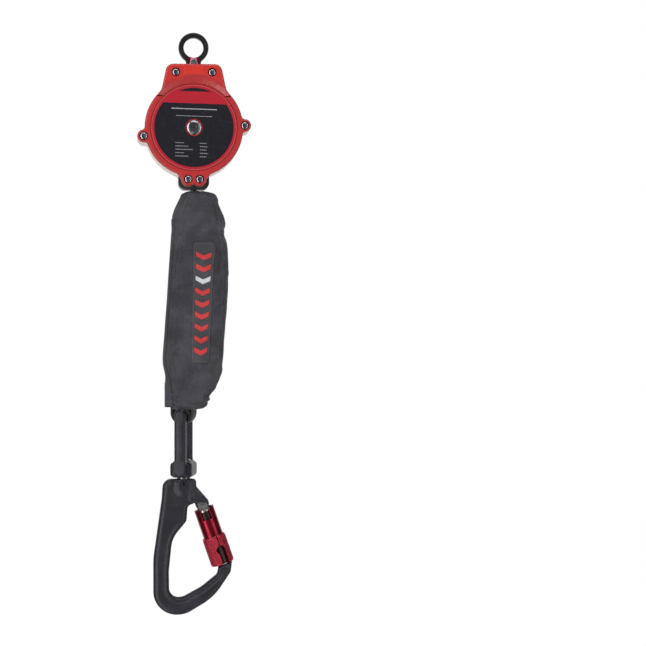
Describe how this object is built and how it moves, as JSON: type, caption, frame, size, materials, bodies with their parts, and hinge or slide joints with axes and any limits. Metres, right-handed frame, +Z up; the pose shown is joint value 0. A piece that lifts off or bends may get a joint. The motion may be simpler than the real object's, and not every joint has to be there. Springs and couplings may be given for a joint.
{
  "type": "self retracting lifeline",
  "caption": "Self retracting webbing lifeline: swivel anchor eye on a round block, pouched energy absorber and a swivel locking hook.",
  "frame": {"origin": "centre of the anchor eye's hole", "axes": "+Z up along the hanging lifeline, -Y out of the block's labelled front, +X to the right seen from the front"},
  "size_m": [0.1179, 0.0524, 0.6098],
  "materials": {
    "forged_black": "satin black over forged steel",
    "red_anodised": "red anodised, turned",
    "stainless": "turned stainless",
    "frame_steel": "zinc plated",
    "bronze": "sintered",
    "red_plastic": "satin moulded red",
    "pale_plastic": "moulded warm pale grey",
    "label_film": "printed film, black with a crimson ring",
    "drum_alloy": "turned",
    "spring_steel": "blued spring steel",
    "black_plastic": "moulded black",
    "lifeline_web": "woven black webbing",
    "pouch_fabric": "woven charcoal nylon",
    "hook_alloy": "dark anodised forging"
  },
  "bodies": {
    "eye": {"anchor_eye": "forged_black"},
    "clevis": {"swivel_clevis": "red_anodised", "eye_rivet": "stainless", "swivel_nut": "frame_steel"},
    "block": {"swivel_bush": "bronze", "swivel_yoke": "frame_steel", "frame_plate_front": "frame_steel", "frame_plate_rear": "frame_steel", "front_cover": "red_plastic", "top_cap": "red_plastic", "rear_cover": "pale_plastic", "label_plate": "label_film", "cap_screws": "stainless", "rear_cap_screws": "stainless", "cover_screws": "stainless", "hub_bolt": "stainless", "rear_hub_bolt": "stainless", "drum_shaft": "frame_steel", "ratchet_ring": "frame_steel", "exit_guide": "black_plastic", "lifeline_webbing": "lifeline_web"},
    "drum": {"drum": "drum_alloy", "drum_bushes": "bronze", "webbing_roll": "lifeline_web", "pawl_pins": "frame_steel", "pawl_springs": "spring_steel", "spring_cup": "drum_alloy", "power_spring": "spring_steel"},
    "pawl_a": {"pawl_a": "frame_steel"},
    "pawl_b": {"pawl_b": "frame_steel"},
    "line_end": {"webbing_tail": "lifeline_web"},
    "absorber": {"absorber_pouch": "pouch_fabric", "pouch_flap": "pouch_fabric", "absorber_pack": "lifeline_web", "pack_lead": "lifeline_web", "end_loop": "lifeline_web"},
    "bail": {"bail": "hook_alloy"},
    "hook": {"hook_body": "hook_alloy", "swivel_stud": "stainless", "swivel_washer": "frame_steel", "roll_pin": "stainless", "gate_pin": "stainless"},
    "gate": {"gate": "hook_alloy", "gate_plunger": "stainless", "gate_spring": "spring_steel", "upper_sleeve": "red_anodised", "sleeve_spring": "spring_steel"},
    "slider": {"sleeve_slider": "frame_steel"},
    "lock_sleeve": {"locking_sleeve": "red_anodised"}
  },
  "joints": [
    {"name": "eye_swing", "type": "hinge", "parent": "eye", "child": "clevis", "pos_m": [0, 0, -0.01575], "axis": [0, 1, 0], "range_deg": [-35, 35]},
    {"name": "top_swivel", "type": "hinge", "parent": "clevis", "child": "block", "pos_m": [0, 0, -0.03], "axis": [0, 0, 1], "continuous": true},
    {"name": "payout", "type": "slide", "parent": "block", "child": "line_end", "axis": [0, 0, -1], "range_m": [0, 1.8], "stiffness_N_per_m": 6, "springref_m": -1.8, "deforming": ["lifeline_webbing"]},
    {"name": "drum_spin", "type": "hinge", "parent": "block", "child": "drum", "pos_m": [0, 0, -0.0856], "axis": [0, 1, 0], "range_deg": [-1, 4141]},
    {"name": "pawl_a_swing", "type": "hinge", "parent": "drum", "child": "pawl_a", "pos_m": [0, 0, -0.0646], "axis": [0, -1, 0], "range_deg": [0, 24], "stiffness_Nm_per_rad": 0.02, "springref_deg": -17.19},
    {"name": "pawl_b_swing", "type": "hinge", "parent": "drum", "child": "pawl_b", "pos_m": [0, 0, -0.1066], "axis": [0, -1, 0], "range_deg": [0, 24], "stiffness_Nm_per_rad": 0.02, "springref_deg": -17.19},
    {"name": "pouch_swing", "type": "hinge", "parent": "line_end", "child": "absorber", "pos_m": [0, 0, -0.1504], "axis": [0, 1, 0], "range_deg": [-15, 15]},
    {"name": "bail_swing", "type": "hinge", "parent": "absorber", "child": "bail", "pos_m": [-0.0103, 0, -0.3857], "axis": [0.1994, 0.9799, 0], "range_deg": [-40, 40]},
    {"name": "hook_swivel", "type": "hinge", "parent": "bail", "child": "hook", "pos_m": [-0.0103, 0, -0.44], "axis": [0, 0, 1], "continuous": true},
    {"name": "gate_hinge", "type": "hinge", "parent": "hook", "child": "gate", "pos_m": [0.00896, 0, -0.47758], "axis": [0, 1, 0], "range_deg": [0, 20], "stiffness_Nm_per_rad": 0.3, "springref_deg": -28.65},
    {"name": "sleeve_lift", "type": "slide", "parent": "gate", "child": "slider", "axis": [-0.3272, 0, 0.9449], "range_m": [0, 0.003], "stiffness_N_per_m": 1500, "springref_m": -0.003, "deforming": ["sleeve_spring"]},
    {"name": "sleeve_twist", "type": "hinge", "parent": "slider", "child": "lock_sleeve", "pos_m": [0.0106, 0, -0.4823], "axis": [-0.3272, 0, 0.9449], "range_deg": [0, 60], "stiffness_Nm_per_rad": 0.02, "springref_deg": -28.65}
  ],
  "couplings": [
    {"joint": "drum_spin", "follows": "payout", "rad_per_m": 40.143}
  ]
}
